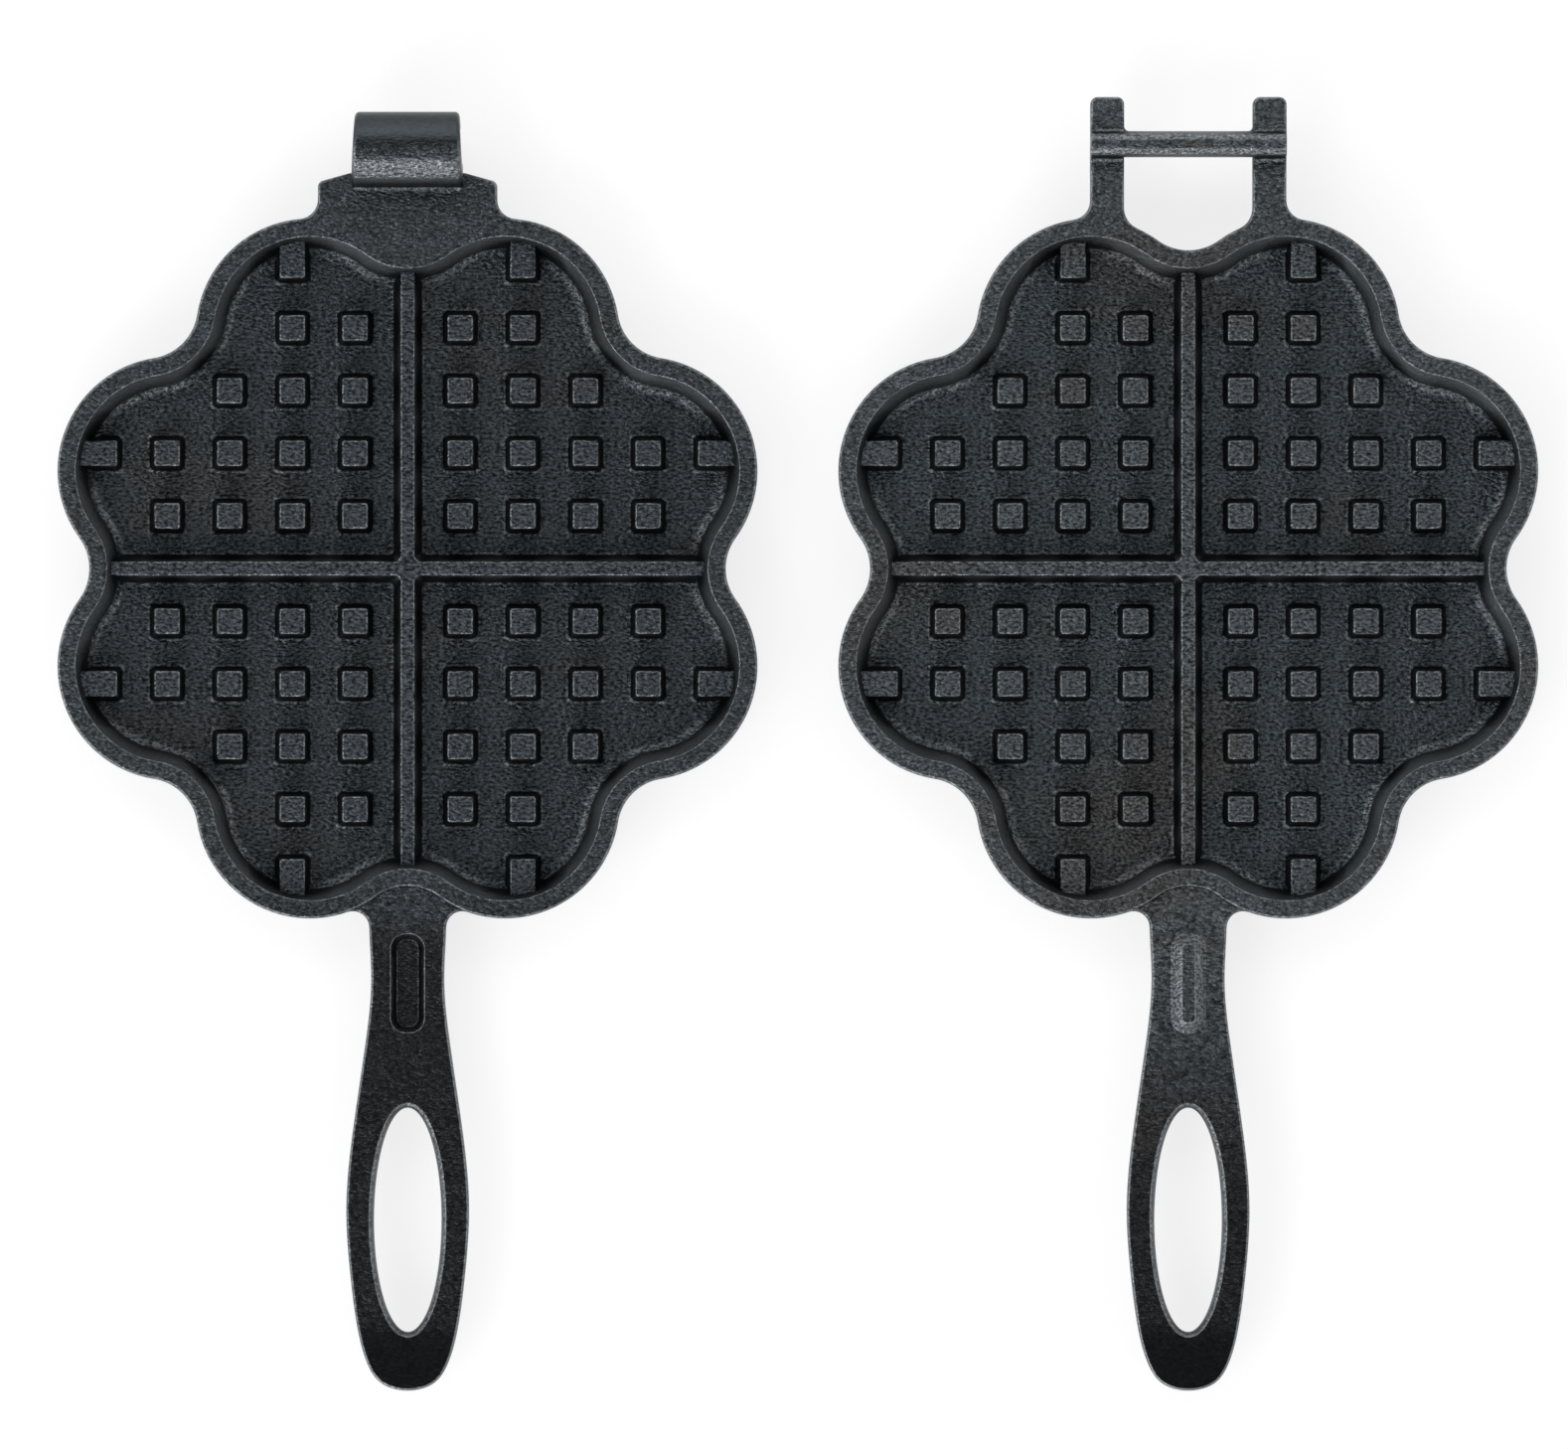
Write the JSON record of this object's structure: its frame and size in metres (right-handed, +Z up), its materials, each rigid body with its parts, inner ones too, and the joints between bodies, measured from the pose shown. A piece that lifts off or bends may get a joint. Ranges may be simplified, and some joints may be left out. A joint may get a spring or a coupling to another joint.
{
  "type": "stovetop waffle iron",
  "caption": "Cast-iron stovetop waffle iron in two loose halves with heart-shaped pockets, hooked together at the far end, each with a long handle with a finger hole.",
  "frame": {"origin": "on the surface that the two halves lie on, at the bottom centre of the pair's box", "axes": "+X from the hook half to the bar half, +Y from the handles to the hinge ends, +Z up, out of the baking faces"},
  "size_m": [0.4512, 0.3942, 0.0275],
  "materials": {
    "seasoned_cast_iron_hook": "sand-cast and seasoned, satin black",
    "seasoned_cast_iron_bar": "sand-cast and seasoned, satin black"
  },
  "bodies": {
    "bar_body": {"bar_half": "seasoned_cast_iron_bar"},
    "hook_body": {"hook_half": "seasoned_cast_iron_hook"}
  },
  "joints": [
    {"name": "book_turn", "type": "hinge", "parent": "bar_body", "child": "hook_body", "pos_m": [0, 0.0535, 0.01515], "axis": [0, 1, 0], "range_deg": [0, 180]}
  ]
}
